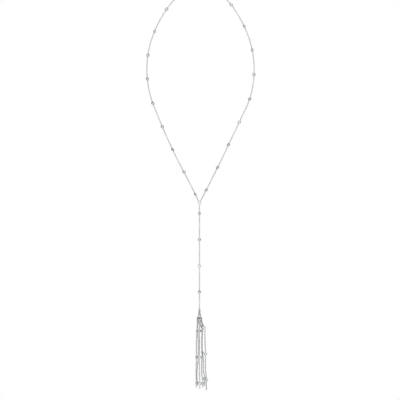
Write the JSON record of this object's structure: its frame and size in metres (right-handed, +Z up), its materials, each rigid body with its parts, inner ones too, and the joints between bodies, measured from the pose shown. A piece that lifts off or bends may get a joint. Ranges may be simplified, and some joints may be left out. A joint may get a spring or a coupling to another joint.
{
  "type": "lariat necklace",
  "caption": "Y-shaped chain necklace with round bezel-set stones along it, a straight drop and a tassel of fine chain strands.",
  "frame": {"origin": "the middle of the clasp, at the back of the neck, where the necklace hangs", "axes": "+Z up, the wearer faces -Y, +X to the right in a view from the front"},
  "size_m": [0.1071, 0.0689, 0.3928],
  "materials": {
    "silver": "polished silver",
    "stone": "cut and polished clear stone"
  },
  "bodies": {
    "root": {"neck_chain_left": "silver", "neck_chain_right": "silver", "drop_chain": "silver", "strand_chain_a": "silver", "strand_chain_b": "silver", "strand_chain_c": "silver", "strand_chain_d": "silver", "strand_chain_e": "silver", "strand_chain_f": "silver", "setting_left_1": "silver", "setting_left_2": "silver", "setting_left_3": "silver", "setting_left_4": "silver", "setting_left_5": "silver", "setting_left_6": "silver", "setting_left_7": "silver", "setting_left_8": "silver", "setting_left_9": "silver", "setting_left_10": "silver", "setting_right_1": "silver", "setting_right_2": "silver", "setting_right_3": "silver", "setting_right_4": "silver", "setting_right_5": "silver", "setting_right_6": "silver", "setting_right_7": "silver", "setting_right_8": "silver", "setting_right_9": "silver", "setting_right_10": "silver", "setting_drop_1": "silver", "setting_drop_2": "silver", "setting_drop_3": "silver", "setting_drop_4": "silver", "strand_settings_a": "silver", "strand_settings_b": "silver", "strand_settings_c": "silver", "strand_settings_d": "silver", "strand_settings_e": "silver", "strand_settings_f": "silver", "stones_left": "stone", "stones_right": "stone", "stones_drop": "stone", "strand_stones_a": "stone", "strand_stones_b": "stone", "strand_stones_c": "stone", "strand_stones_d": "stone", "strand_stones_e": "stone", "strand_stones_f": "stone", "junction_ring": "silver", "hanger_ring_1": "silver", "hanger_ring_2": "silver", "hanger_ring_3": "silver", "tassel_ring": "silver", "clasp": "silver", "clasp_ring": "silver"}
  },
  "joints": []
}
